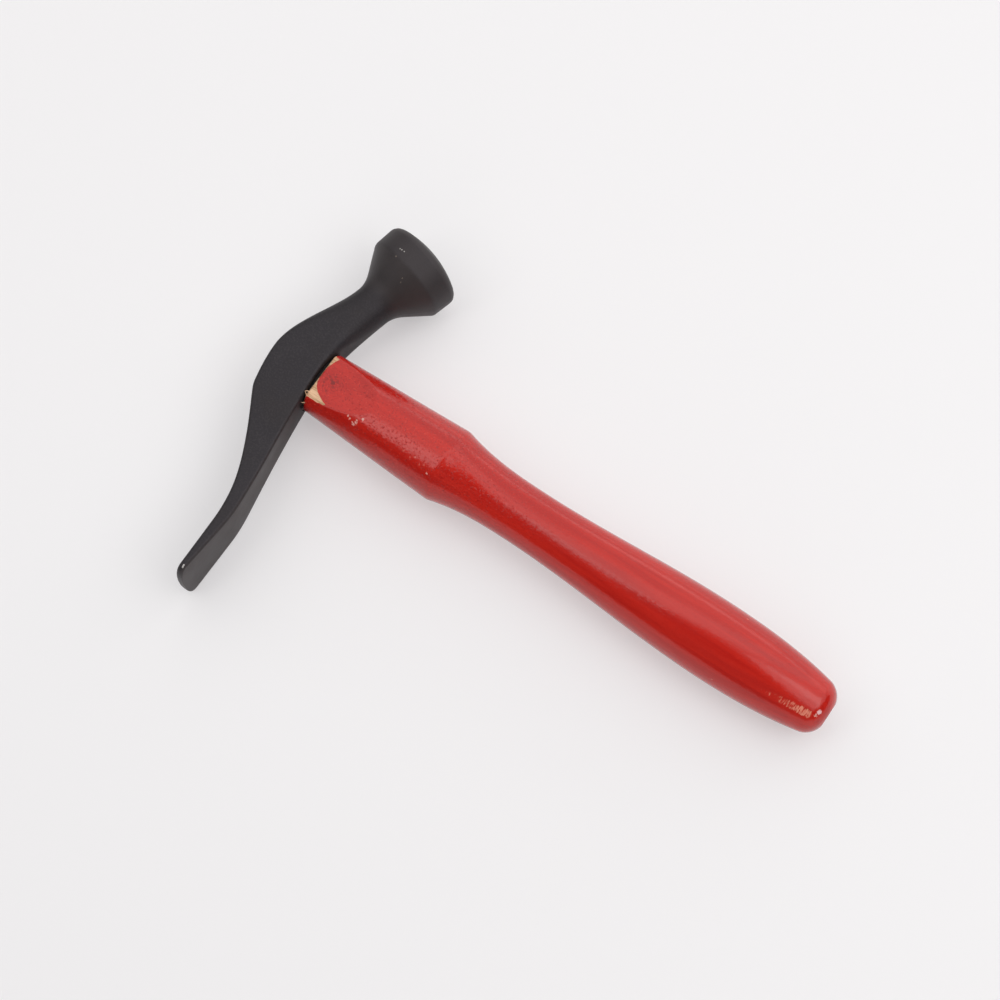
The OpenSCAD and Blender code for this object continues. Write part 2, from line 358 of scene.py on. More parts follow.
def put(tree, kind, props=None, **inputs):
    """Adds a node. Inputs are named with _ for a space, or in0, in1 by number, and are values or sockets."""
    node = tree.nodes.new("ShaderNode" + kind)
    for key, value in (props or {}).items():
        setattr(node, key, value)
    for key, value in inputs.items():
        numbered = key.startswith("in") and key[2:].isdigit()
        socket = node.inputs[int(key[2:]) if numbered else key.replace("_", " ")]
        if isinstance(value, bpy.types.NodeSocket):
            tree.links.new(value, socket)
        else:
            socket.default_value = value
    return node


def new_material(name):
    material = bpy.data.materials.new(name)
    material.use_nodes = True
    material.node_tree.nodes.clear()
    return material, material.node_tree


def finish_material(tree, **inputs):
    shader = put(tree, "BsdfPrincipled", **inputs)
    out = tree.nodes.new("ShaderNodeOutputMaterial")
    tree.links.new(shader.outputs[0], out.inputs["Surface"])


def calc(tree, operation, a, b):
    return put(tree, "Math", {"operation": operation}, in0=a, in1=b).outputs[0]


def plus(tree, total, value, share):
    """A total with a share of another value added to it."""
    return calc(tree, "ADD", total, calc(tree, "MULTIPLY", value, share))


def largest(tree, first, *others):
    for other in others:
        first = calc(tree, "MAXIMUM", first, other)
    return first


def spread(tree, value, low, high, to_low=0.0, to_high=1.0):
    """Maps a value from low..high to another range, held at both ends, with a soft start and end."""
    node = put(tree, "MapRange", {"interpolation_type": "SMOOTHSTEP"}, Value=value,
               From_Min=low, From_Max=high, To_Min=to_low, To_Max=to_high)
    return node.outputs["Result"]


def position(tree):
    return put(tree, "TexCoord").outputs["Object"]


def along_x(tree):
    return put(tree, "SeparateXYZ", Vector=position(tree)).outputs["X"]


def grain(tree, scale, detail=3.0, rough=0.55):
    """Noise between 0 and 1, with so many waves per metre along each axis."""
    moved = put(tree, "Mapping", Vector=position(tree), Scale=scale).outputs["Vector"]
    return put(tree, "TexNoise", Vector=moved, Scale=1.0, Detail=detail, Roughness=rough).outputs["Fac"]


def even_grain(tree, waves, detail=3.0, rough=0.55):
    return grain(tree, (waves, waves, waves), detail, rough)


def tint(tree, share, a, b):
    return put(tree, "Mix", {"data_type": "RGBA"}, in0=share, in6=a, in7=b).outputs[2]


def attribute(tree, name):
    return put(tree, "Attribute", {"attribute_name": name}).outputs["Fac"]


def far_from(tree, point):
    """Distance in metres from a point that is given along the hammer's own axes."""
    there = PLACE @ Vector(point)
    return put(tree, "VectorMath", {"operation": "DISTANCE"}, in0=position(tree), in1=there).outputs["Value"]


def spots(tree, places, ragged=1.4, waves=1600):
    """Rises to 1 inside small ragged spots, each given as a point and a radius in millimetres."""
    least = None
    for point, radius in places:
        share = calc(tree, "DIVIDE", far_from(tree, point), radius * MM)
        least = share if least is None else calc(tree, "MINIMUM", least, share)
    rim = plus(tree, least, even_grain(tree, waves, 2.0, 0.6), ragged)
    return spread(tree, rim, SPOT_OUTSIDE + ragged / 2, SPOT_INSIDE + ragged / 2)


# Colours, the bench's own share of white from near to far, and the roughness of the paints

WOOD_DARK = (0.43, 0.24, 0.125, 1)
WOOD_PALE = (0.72, 0.46, 0.285, 1)
# Painted shade: black for the tenon where it shows in the gap between head and handle
WOOD_GAP_SHADE = (0.006, 0.005, 0.005, 1)
STEEL_DARK = (0.30, 0.28, 0.27, 1)
STEEL_PALE = (0.52, 0.51, 0.50, 1)
BLACK_DEEP = (0.0052, 0.0042, 0.0052, 1)
BLACK_FADED = (0.0105, 0.0083, 0.0079, 1)
BLACK_RUBBED = (0.024, 0.022, 0.022, 1)
BLACK_MOTTLE = (0.024, 0.020, 0.0205, 1)
BLACK_SHEEN = (1.0, 0.93, 1.0, 1)
# Paler paint: partly dust, partly painted light on the bell and on the peen's face towards the handle
DUST_AND_LIGHT = (0.042, 0.035, 0.033, 1)
RUST = (0.15, 0.12, 0.095, 1)
# Bare specks, and a painted highlight at the corner of the peen's tip
BARE_SPECK_AND_GLINT = (0.42, 0.40, 0.38, 1)
RED_DEEP = (0.425, 0.0115, 0.0075, 1)
RED_LIGHT = (0.512, 0.0170, 0.0098, 1)
RED_PIT = (0.320, 0.0075, 0.0052, 1)
RED_GRIT = (0.60, 0.038, 0.024, 1)
RED_KNOT = (0.22, 0.007, 0.005, 1)
RED_SPECK = (0.58, 0.085, 0.06, 1)
RED_RUBBED = (0.82, 0.32, 0.21, 1)
# Painted highlight on raised paint chips
RED_CHIP_GLINT = (0.70, 0.34, 0.29, 1)
# Painted highlight on a small dent near the butt
RED_GLINT = (0.80, 0.47, 0.47, 1)
BENCH_PALE = (0.82, 0.813, 0.812, 1)
BENCH_WHITE = (0.93, 0.905, 0.92, 1)
WHITE_NEAR = 0.42
WHITE_FAR = 0.96
WHITE_FROM = 0.6
WHITE_TO = 1.5
WORLD_DIM = (0.98, 0.98, 1.0, 1)
SATIN_LOW = 0.48
SATIN_HIGH = 0.60
GLOSS = 0.16
OPEN_WOOD = 0.75


# Materials

def wood_colour(tree):
    fine = grain(tree, (60, 2600, 2600), 4.0, 0.6)
    slow = grain(tree, (25, 500, 500), 2.0)
    streak = calc(tree, "ADD", fine, slow)
    return tint(tree, spread(tree, streak, 0.8, 1.2), WOOD_DARK, WOOD_PALE)


def black_paint():
    """Satin paint, a little uneven, with rubbed edges, paler paint that is partly dust and partly painted
    light, a few bare specks and a painted highlight at the peen's tip.
    """
    material, tree = new_material("black_paint")
    peel = even_grain(tree, 520)
    fine = even_grain(tree, 1700, 2.0, 0.6)
    wave = even_grain(tree, 110, 2.0)
    worn = even_grain(tree, 60, 4.0, 0.6)
    scratch = spread(tree, even_grain(tree, 260, 4.0, 0.65), 0.42, 0.68)
    rubbed = calc(tree, "MULTIPLY", attribute(tree, "edge"), scratch)
    base = tint(tree, spread(tree, worn, 0.45, 0.72), BLACK_DEEP, BLACK_FADED)
    base = tint(tree, rubbed, base, BLACK_RUBBED)
    uneven = spread(tree, plus(tree, worn, fine, 0.5), 0.45, 1.05, 0.6, 1.3)
    # Paler paint, partly dust and partly painted light: lighter on the bell, darker in the shade by the eye
    base = tint(tree, calc(tree, "MULTIPLY", attribute(tree, "dust_and_light"), uneven), base, DUST_AND_LIGHT)
    base = tint(tree, spread(tree, fine, 0.42, 0.72, 0.0, 0.5), base, BLACK_MOTTLE)
    base = tint(tree, spots(tree, RUST_MARKS, 2.0), base, RUST)
    # Bare specks on the bell and the peen, and a painted highlight at the corner of the peen's tip
    base = tint(tree, spots(tree, HEAD_SPECKS_AND_TIP_GLINT), base, BARE_SPECK_AND_GLINT)
    height = plus(tree, wave, peel, 0.35)
    height = plus(tree, height, fine, 0.4)
    bump = put(tree, "Bump", Height=height, Strength=0.4, Distance=0.0002)
    rough = spread(tree, worn, 0.3, 0.7, SATIN_LOW, SATIN_HIGH)
    finish_material(tree, Base_Color=base, Roughness=rough, IOR=1.48,
                    Specular_Tint=BLACK_SHEEN, Normal=bump.outputs["Normal"])
    return material


def sanded_arcs(tree):
    """Faint arcs that sanding left round the knot on the flat."""
    turns = calc(tree, "MULTIPLY", far_from(tree, ARCS_MIDDLE), ARCS_PER_M)
    wave = put(tree, "Math", {"operation": "SINE"}, in0=turns).outputs[0]
    zone = spread(tree, far_from(tree, ARCS_ZONE), 6.2 * MM, 3.0 * MM)
    broken = spread(tree, even_grain(tree, 420, 2.0), 0.45, 0.62)
    return calc(tree, "MULTIPLY", calc(tree, "MULTIPLY", zone, broken), spread(tree, wave, 0.2, 0.9))


def rubbed_strokes(tree):
    """Short strokes round the handle near the butt, where the paint is rubbed off."""
    stroke = grain(tree, (2100, 420, 420), 3.0, 0.65)
    return spread(tree, plus(tree, stroke, attribute(tree, "scuff"), 0.55), 0.92, 1.16)


def red_paint():
    """Gloss paint brushed on along the handle, with bare wood where it is missing, chipped or rubbed off,
    painted highlights on raised chips and a painted highlight on a dent near the butt.
    """
    material, tree = new_material("red_paint")
    brush = grain(tree, (14, 600, 600))
    slow = grain(tree, (9, 160, 160), 2.0)
    peel = even_grain(tree, 480, 2.0)
    fine = even_grain(tree, 1300, 3.0, 0.6)
    tone = calc(tree, "ADD", brush, slow)
    paint = tint(tree, spread(tree, tone, 0.75, 1.25), RED_DEEP, RED_LIGHT)
    rough_to = (PLACE @ on_handle(ROUGH_TO, 0)).x
    smooth_from = (PLACE @ on_handle(SMOOTH_FROM, 0)).x
    rough_end = spread(tree, along_x(tree), rough_to, smooth_from, 1.0, 0.2)
    pits = calc(tree, "MULTIPLY", spread(tree, fine, 0.53, 0.71), rough_end)
    paint = tint(tree, pits, paint, RED_PIT)
    grits = calc(tree, "MULTIPLY", spread(tree, even_grain(tree, 1500, 2.0), 0.58, 0.76), rough_end)
    paint = tint(tree, grits, paint, RED_GRIT)
    smudge = largest(tree, calc(tree, "MULTIPLY", sanded_arcs(tree), 0.5),
                     calc(tree, "MULTIPLY", spots(tree, SMUDGES, 2.0, 1100), 0.6))
    knot = largest(tree, spots(tree, KNOT, 1.6, 1100), smudge)
    paint = tint(tree, knot, paint, RED_KNOT)
    paint = tint(tree, spots(tree, SPECKS, 2.4, 2200), paint, RED_SPECK)
    missing = plus(tree, attribute(tree, "bare"), even_grain(tree, 900), 0.6)
    bare = spread(tree, missing, 0.26, 0.34)
    rub = calc(tree, "MULTIPLY", rubbed_strokes(tree), 0.72)
    base = tint(tree, rub, paint, RED_RUBBED)
    # Raised paint chips, drawn as pale spots: a painted highlight on each
    base = tint(tree, spots(tree, CHIP_GLINTS, 2.6, 1900), base, RED_CHIP_GLINT)
    # Painted highlight on a small dent near the butt
    base = tint(tree, spots(tree, GLINT, 1.2, 1300), base, RED_GLINT)
    base = tint(tree, bare, base, wood_colour(tree))
    open_wood = largest(tree, bare, rub)
    height = calc(tree, "MULTIPLY", brush, 0.45)
    for part, share in ((peel, 0.8), (pits, 0.7), (open_wood, -1.2), (knot, -0.8)):
        height = plus(tree, height, part, share)
    bump = put(tree, "Bump", Height=height, Strength=0.35, Distance=0.00018)
    rough = spread(tree, open_wood, 0.0, 1.0, GLOSS, OPEN_WOOD)
    finish_material(tree, Base_Color=base, Roughness=rough, IOR=1.47, Normal=bump.outputs["Normal"])
    return material


def bare_wood(name, shade_from=None):
    """Plain wood. Where a place along X is given, it is painted black from there towards the butt, as
    painted shade in the gap between the handle and the head.
    """
    material, tree = new_material(name)
    base = wood_colour(tree)
    if shade_from is not None:
        x = (PLACE @ Vector((shade_from, 0, 0))).x
        # Painted shade: the tenon turns black where it shows in the gap between head and handle
        base = tint(tree, spread(tree, along_x(tree), x, x + MM), base, WOOD_GAP_SHADE)
    bump = put(tree, "Bump", Height=grain(tree, (80, 2600, 2600)), Strength=0.4, Distance=0.0001)
    finish_material(tree, Base_Color=base, Roughness=0.7, Normal=bump.outputs["Normal"])
    return material


def bare_steel():
    material, tree = new_material("bare_steel")
    worn = grain(tree, (800, 300, 800))
    base = tint(tree, spread(tree, worn, 0.4, 0.65), STEEL_DARK, STEEL_PALE)
    finish_material(tree, Base_Color=base, Metallic=1.0, Roughness=spread(tree, worn, 0.3, 0.7, 0.35, 0.6))
    return material


def pale_bench():
    """A pale bench that keeps the hammer's shadow. It is partly white by itself, and mostly so far away."""
    material, tree = new_material("bench")
    light = put(tree, "LightPath")
    seen = largest(tree, light.outputs["Is Camera Ray"], light.outputs["Is Glossy Ray"],
                   light.outputs["Is Transmission Ray"])
    plain = put(tree, "BsdfDiffuse", Color=BENCH_PALE)
    white = put(tree, "Emission", Color=BENCH_WHITE, Strength=1.0)
    own_white = spread(tree, far_from(tree, (0, 0, 0)), WHITE_FROM, WHITE_TO, WHITE_NEAR, WHITE_FAR)
    share = calc(tree, "MULTIPLY", seen, own_white)
    both = put(tree, "MixShader", in0=share, in1=plain.outputs[0], in2=white.outputs[0])
    out = tree.nodes.new("ShaderNodeOutputMaterial")
    tree.links.new(both.outputs[0], out.inputs["Surface"])
    return material


def bell_place(distance, degrees, r):
    """A point round the bell, along the hammer's own axes."""
    a = math.radians(degrees)
    side = Vector((BELL_DIR.y, -BELL_DIR.x, 0))
    return NECK_AT + BELL_DIR * distance + side * (r * math.sin(a)) + Vector((0, 0, r * math.cos(a)))


def tip_corner(back, inset, drop):
    """A point beside the upper long edge of the peen, so far back from its end."""
    d = PEEN_REACH - back
    return Vector((peen_mid(d) + peen_depth(d) / 2 - inset, -d, peen_width(d) / 2 - drop))


# The sanded arcs, the fore part where the paint is rough, and the place in the eye where the painted shade
# of the gap begins

ARCS_MIDDLE = on_flat(17.2, -1.2)
ARCS_ZONE = on_flat(16.4, -0.8)
ARCS_PER_M = 6500.0
ROUGH_TO = 40
SMOOTH_FROM = 115
GAP_SHADE_FROM = 6.0

# Spots in the paint, each with its radius in millimetres

# The spots 3 to 3.8 mm back from the peen's end are a painted highlight on its corner; the others are bare
# specks
HEAD_SPECKS_AND_TIP_GLINT = [
    (bell_place(17.4, -16, 16.0), 0.2), (bell_place(17.5, -13, 16.0), 0.26),
    (bell_place(17.7, -9, 16.0), 0.22), (bell_place(13.1, -4, 15.0), 0.2),
    (tip_corner(3.4, 0.9, 0.2), 0.34), (tip_corner(3.8, 1.0, 0.2), 0.3),
    (tip_corner(3.0, 0.8, 0.3), 0.3), (tip_corner(30.0, 1.0, 1.0), 0.16),
]
RUST_MARKS = [
    (bell_place(14.6, -12, 15.4), 0.3), (bell_place(10.5, 18, 12.2), 0.45),
    (bell_place(10.8, 26, 12.4), 0.4), (bell_place(11.6, 15, 13.2), 0.3),
    (bell_place(8.6, 14, 10.6), 0.35), (bell_place(7.4, 44, 9.8), 0.35),
]
# Raised paint chips, each drawn as a pale spot that is a painted highlight
CHIP_GLINTS = [
    (on_handle(16.8, -36), 0.35), (on_handle(17.8, -38), 0.45), (on_handle(19.2, -41), 0.4),
    (on_handle(19.8, -43), 0.6), (on_handle(20.3, -38), 0.5), (on_handle(20.2, -34), 0.35),
    (on_handle(21.9, -27), 0.5), (on_handle(50.2, -41), 0.4), (on_handle(200.1, -29), 0.7),
]
# Painted highlight on a small dent near the butt
GLINT = [(on_handle(200.7, -19), 1.05)]
SPECKS = [
    (on_handle(20.6, -40), 0.4), (on_handle(39.5, -32), 0.4), (on_handle(42.5, -35), 0.35),
    (on_handle(44.0, -31), 0.4), (on_handle(46.5, -36), 0.4), (on_handle(48.0, -33), 0.35),
    (on_handle(164.8, 48), 0.4), (on_handle(165.8, -71), 0.35),
]
KNOT = [(on_flat(15.7, 0.1), 0.75), (on_flat(15.1, 0.5), 0.4)]
SMUDGES = [
    (on_flat(14.6, 0.9), 0.6), (on_flat(13.0, 0.1), 0.7), (on_flat(12.9, -1.3), 0.6),
    (on_flat(16.9, 1.1), 0.6), (on_flat(15.2, 2.3), 0.6), (on_flat(13.6, 1.4), 0.5),
    (on_flat(13.4, -2.6), 0.5), (on_flat(15.4, -3.6), 0.5), (on_flat(16.6, -1.2), 0.5),
]
BLACK = black_paint()
RED = red_paint()
WOOD = bare_wood("bare_wood")
TENON_WOOD = bare_wood("tenon_wood", GAP_SHADE_FROM)
STEEL = bare_steel()


# Head

# Points round the head's sections and the eye, and how many sections each stretch has
CORNER_POINTS = 9
SIDE_POINTS = 6
SLOT_POINTS = 16
NEARLY_HALF = 0.495
TIP_RINGS = 12
TIP_START = 0.008
PEEN_RINGS = 100
NECK_RINGS = 40
CONE_RINGS = 24
BAND_RINGS = 6
RIM_RINGS = 10
CROWN_RINGS = 14

# Shares of paler paint, partly dust and partly painted light (paler on the bell and towards the peen's tip,
# darker in the shade by the eye), and the stretches over which it begins on the peen and the cone
TIP_DUST_AND_LIGHT = 0.1
PEEN_DUST_AND_LIGHT = 0.95
PEEN_DUST_AND_LIGHT_FROM = 6.0
PEEN_DUST_AND_LIGHT_RUN = 30.0
CONE_DUST_AND_LIGHT = 0.7
CONE_DUST_AND_LIGHT_RUN = 6.0
EDGE_DUST_AND_LIGHT = 0.4
BAND_DUST_AND_LIGHT = 0.45
RIM_DUST_AND_LIGHT = 0.65
CROWN_DUST_AND_LIGHT = 0.5

# How far the spaces that are cut out reach past the surface
CUT_PAST = 2.0


def section(at, lean, depth, width, r):
    """A rounded rectangle round the head, square to a line that leans from Y."""
    c = min(r, depth * NEARLY_HALF, width * NEARLY_HALF)
    across = Vector((math.cos(lean), -math.sin(lean), 0))
    corners = []
    for k in range(4):
        sx = 1 if k in (0, 3) else -1
        sz = 1 if k < 2 else -1
        arc = []
        for i in range(CORNER_POINTS):
            t = (k + i / (CORNER_POINTS - 1)) * math.pi / 2
            arc.append((sx * (depth / 2 - c) + c * math.cos(t), sz * (width / 2 - c) + c * math.sin(t)))
        corners.append(arc)
    outline = []
    for k, arc in enumerate(corners):
        outline += arc
        start = arc[-1]
        end = corners[(k + 1) % 4][0]
        for i in range(1, SIDE_POINTS):
            u = i / SIDE_POINTS
            outline.append((mix(start[0], end[0], u), mix(start[1], end[1], u)))
    return [at + across * p + Vector((0, 0, q)) for p, q in outline]


def edge_share():
    """How near each point of a section lies to the middle of its corner's rounding."""
    half = (CORNER_POINTS - 1) / 2
    corner = [1 - abs(i - half) / half for i in range(CORNER_POINTS)]
    return (corner + [0.0] * (SIDE_POINTS - 1)) * 4


def inner_share():
    """How far each point of a section faces the handle."""
    rising = [i / (CORNER_POINTS - 1) for i in range(CORNER_POINTS)]
    side = SIDE_POINTS - 1
    away = [0.0] * (3 * side + 2 * CORNER_POINTS)
    return rising[::-1] + away + rising + [1.0] * side


def peen_section(d, width):
    return section(Vector((peen_mid(d), -d, 0)), 0, peen_depth(d), width, EDGE_R)


def bell_section(distance, r):
    return section(NECK_AT + BELL_DIR * distance, BELL_LEAN, 2 * r, 2 * r, r)


def flare_r(distance):
    return mix(NECK_R, RIM_R, ramp(distance, FLARE_BEND, FLARE_L))


def head_rings():
    """The head's sections from the peen's edge to the face, with the shares of worn edge and of paler paint,
    partly dust and partly painted light.
    """
    rings = []

    def add(points, worn=0.0, inner=0.0, round_about=0.0):
        edges = [worn * share for share in edge_share()]
        dust_and_light_share = [inner * share + round_about for share in inner_share()]
        rings.append((points, edges, dust_and_light_share))

    for i in range(TIP_RINGS):
        s = TIP_START + (1 - TIP_START) * (i / TIP_RINGS) ** 2
        d = PEEN_REACH - TIP_L * s
        width = peen_width(d) * (1 - (1 - s) ** END_POWER) ** (1 / END_POWER)
        add(peen_section(d, width), 1.0, PEEN_DUST_AND_LIGHT, TIP_DUST_AND_LIGHT)
    for i in range(PEEN_RINGS):
        d = (PEEN_REACH - TIP_L) * (1 - i / PEEN_RINGS)
        add(peen_section(d, peen_width(d)), 1.0, PEEN_DUST_AND_LIGHT * smooth((d - PEEN_DUST_AND_LIGHT_FROM) / PEEN_DUST_AND_LIGHT_RUN))
    for i in range(NECK_RINGS):
        u = i / NECK_RINGS
        at = Vector((neck_mid(u), NECK_REACH * u, 0))
        width = mix(CHEEK_W, 2 * NECK_R, smooth(u))
        r = mix(EDGE_R, NECK_R, smooth(u))
        add(section(at, BELL_LEAN * smooth(u), neck_depth(u), width, r), 1 - smooth(2 * u))
    flare_end = FLARE_L - BAND_EASE
    for i in range(CONE_RINGS + 1):
        distance = flare_end * i / CONE_RINGS
        dust_and_light_share = CONE_DUST_AND_LIGHT * smooth(distance / CONE_DUST_AND_LIGHT_RUN)
        add(bell_section(distance, flare_r(distance)), round_about=dust_and_light_share)
    band_start = FLARE_L + BAND_EASE
    start_r = flare_r(flare_end)
    end_r = mix(RIM_R, FACE_R, BAND_EASE / (RIM_W - RIM_EASE))
    for i in range(1, BAND_RINGS):
        u = i / BAND_RINGS
        r = (1 - u) ** 2 * start_r + 2 * u * (1 - u) * RIM_R + u * u * end_r
        add(bell_section(mix(flare_end, band_start, u), r), round_about=mix(CONE_DUST_AND_LIGHT, EDGE_DUST_AND_LIGHT, u))
    for i in range(BAND_RINGS + 1):
        distance = mix(band_start, BELL_H - RIM_EASE, i / BAND_RINGS)
        r = mix(RIM_R, FACE_R, (distance - FLARE_L) / (RIM_W - RIM_EASE))
        add(bell_section(distance, r), round_about=BAND_DUST_AND_LIGHT)
    for i in range(1, RIM_RINGS):
        t = i / RIM_RINGS * (math.pi / 2 - CROWN_EDGE)
        distance = BELL_H - RIM_EASE * (1 - math.sin(t))
        add(bell_section(distance, FACE_R - RIM_EASE * (1 - math.cos(t))), round_about=RIM_DUST_AND_LIGHT)
    for i in range(CROWN_RINGS):
        t = CROWN_EDGE * (1 - i / CROWN_RINGS)
        add(bell_section(CROWN_H + CROWN_R * math.cos(t), CROWN_R * math.sin(t)), round_about=CROWN_DUST_AND_LIGHT)
    return rings


def slot_ring(x, r):
    """A ring of the eye's slot with round ends, at the place x along the hammer."""
    y_half = (EYE_L - EYE_W) / 2
    ring = []
    for side in (1, -1):
        for i in range(SLOT_POINTS + 1):
            t = math.pi * i / SLOT_POINTS
            ring.append(Vector((x, side * (y_half + r * math.sin(t)), side * -r * math.cos(t))))
    return ring


def eye_r(x):
    return EYE_W / 2 + EYE_FLARE / 2 / BODY_DEPTH * (SEAT_X - x)


def make_head():
    rings = head_rings()
    skin = [ring for ring, edges, dust_and_light_share in rings]
    points, faces = loft(dented(skin, DENT_HEAD_WAVE, DENT_HEAD, DENT_HEAD_SEED))
    piece = new_mesh("hammer_head", points, faces, BLACK, SHARP_HEAD)
    mark(piece, "edge", [share for ring, edges, dust_and_light_share in rings for share in edges])
    mark(piece, "dust_and_light", [share for ring, edges, dust_and_light_share in rings for share in dust_and_light_share])
    start = HEAD_END + CUT_PAST
    end = POLL_X - CUT_PAST
    points, faces = loft([slot_ring(start, eye_r(start)), slot_ring(end, eye_r(end))])
    cut(piece, [new_mesh("eye_space", points, faces, BLACK)], SHARP_HEAD)
    dress(piece, "head")


# Handle

# Points round the handle, and the steps along it, which are finer near its edges
ROUND_POINTS = 180
BUTT_RINGS = 24
TENON_RINGS = 12
FINE_STEP = 0.35
WIDE_STEP = 0.7
FINE_NEAR = 2.5
FINE_START = 2.0

# The bare strip: its line all round, its middle, and its reach, run and power towards face and peen
BARE_LINE = 0.15
BARE_MID = 1.5
BARE_TO_FACE = (2.6, 7.57, 2.2)
BARE_TO_PEEN = (5.9, 8.7, 3.4)
BARE_LIMIT = 3.0

# The rubbed strokes near the butt, by distances along the handle and angles round it
SCUFF_FROM = 176.0
SCUFF_FADE_IN = 6.0
SCUFF_TO = 199.6
SCUFF_FADE_OUT = 1.6
SCUFF_GROWS = 180.0
SCUFF_GROW_L = 18.0
SCUFF_WEAK = 0.62
SCUFF_STRONG = 1.08
SCUFF_NARROW = 6.0
SCUFF_WIDE = 10.0
SCUFF_ANGLE = -36.0
SCUFF_END_ANGLE = -33.0
SCUFF_TURNS = 186.0
SCUFF_TURN_L = 13.0


def handle_stations():
    """Distances along the handle, closer where its outline turns sharply."""
    places = []
    x = 0.0
    while x < HANDLE_L - BUTT_L:
        places.append(x)
        near = min(abs(x - SHOULDER_L), abs(x - HANDLE_L + BUTT_L))
        x += FINE_STEP if near < FINE_NEAR or x < FINE_START else WIDE_STEP
    places.append(HANDLE_L - BUTT_L)
    return places


def bare_share(p, x, a):
    """How far, in millimetres, a place lies inside the unpainted strip beside the head."""
    edge = BARE_LINE
    if p.z > 0 and flat_z(x) < handle_r(x) * math.cos(a) + 0.05:
        v = p.y - BARE_MID
        reach, run, power = BARE_TO_FACE if v > 0 else BARE_TO_PEEN
        edge += reach * (abs(v) / run) ** power
    return max(-BARE_LIMIT, min(BARE_LIMIT, edge - x))


def scuff_share(x, a):
    """How strongly the paint is rubbed off, near the butt."""
    degrees = math.degrees(a) if a < math.pi else math.degrees(a) - 360
    grown = smooth((x - SCUFF_GROWS) / SCUFF_GROW_L)
    ends = smooth((x - SCUFF_FROM) / SCUFF_FADE_IN) * smooth((SCUFF_TO - x) / SCUFF_FADE_OUT)
    middle = mix(SCUFF_ANGLE, SCUFF_END_ANGLE, (x - SCUFF_TURNS) / SCUFF_TURN_L)
    across = smooth(1.5 - abs(degrees - middle) / mix(SCUFF_NARROW, SCUFF_WIDE, grown))
    return mix(SCUFF_WEAK, SCUFF_STRONG, grown) * ends * across


def round_row(x, r_at):
    """Points round the handle at one distance along it, each with that distance and its angle."""
    row = []
    for i in range(ROUND_POINTS):
        a = 2 * math.pi * i / ROUND_POINTS
        r = r_at(a)
        row.append((Vector((HEAD_END + x, r * math.sin(a), r * math.cos(a))), x, a))
    return row


def make_handle():
    rows = []
    for x in handle_stations():
        r_full = eased_r(x) - END_WEAR * max(0.0, 1 - x / END_WEAR_L) ** 2
        flat = flat_z(x) - FLAT_WEAR * max(0.0, 1 - x / FLAT_WEAR_L) ** 2
        rows.append(round_row(x, lambda a: soft_min(r_full, flat / max(abs(math.cos(a)), 0.02), FLAT_EASE)))
    drop = (RING_D - BUTT_FLAT_D) / 2
    slant = math.hypot(drop, BUTT_L)
    for k in range(1, BUTT_RINGS + 1):
        u = k / BUTT_RINGS
        bulge = 4 * BUTT_BULGE * u * (1 - u)
        x = HANDLE_L - BUTT_L + BUTT_L * u + bulge * drop / slant
        r = RING_D / 2 - drop * u + bulge * BUTT_L / slant
        rows.append(round_row(x, lambda a: r))
    skin = [[p for p, x, a in row] for row in rows]
    points, faces = loft(dented(skin, DENT_HANDLE_WAVE, DENT_HANDLE, DENT_HANDLE_SEED))
    piece = new_mesh("turned_handle", points, faces, RED, SHARP_ROUND)
    mark(piece, "bare", [bare_share(p, x, a) for row in rows for p, x, a in row])
    mark(piece, "scuff", [scuff_share(x, a) for row in rows for p, x, a in row])
    dress(piece, "handle")


def wedge_space(name, length, thick, tip, half, upright):
    """A wedge-shaped cut from the poll, which lies along the eye or stands across it."""
    t0 = thick / 2 + WEDGE_CLEAR
    t1 = tip / 2 + WEDGE_CLEAR
    end = POLL_X + length + WEDGE_CLEAR
    start = POLL_X - CUT_PAST
    outline = [(start, t0), (POLL_X, t0), (end, t1), (end, -t1), (POLL_X, -t0), (start, -t0)]
    rings = []
    for s in (-half, half):
        rings.append([Vector((x, t, s)) if upright else Vector((x, s, t)) for x, t in outline])
    points, faces = loft(rings)
    if upright:
        faces = [tuple(reversed(f)) for f in faces]
    return new_mesh(name, points, faces, WOOD)


def poll_surface(y):
    """Where the poll lies along X, at a place along the eye."""
    if y < 0:
        return peen_mid(-y) - peen_depth(-y) / 2
    return neck_mid(y / NECK_REACH) - neck_depth(y / NECK_REACH) / 2


def make_tenon():
    """The handle's tenon in the eye, cut for its two wedges."""
    rings = []
    for k in range(TENON_RINGS + 1):
        u = k / TENON_RINGS
        ring = slot_ring(0, eye_r(mix(HEAD_END, POLL_X, u)) - EYE_CLEAR)
        rings.append([Vector((mix(HEAD_END, poll_surface(p.y) + POLL_FLUSH, u), p.y, p.z)) for p in ring])
    points, faces = loft(rings, True, False)
    n = len(rings[0])
    last = len(points) - n
    for i in range(n // 2 - 1):
        faces.append((last + i, last + i + 1, last + n - 2 - i, last + n - 1 - i))
    piece = new_mesh("tenon", points, faces, TENON_WOOD)
    cut(piece, [wedge_space("kerf_space", WEDGE_L, WEDGE_T, WEDGE_TIP_T, EYE_L, False),
                wedge_space("steel_space", STEEL_L, STEEL_T, STEEL_TIP_T, STEEL_W / 2 + WEDGE_CLEAR, True)])
    dress(piece)


# Torn fibres and flakes at the joint

SLIVER_POINTS = 8


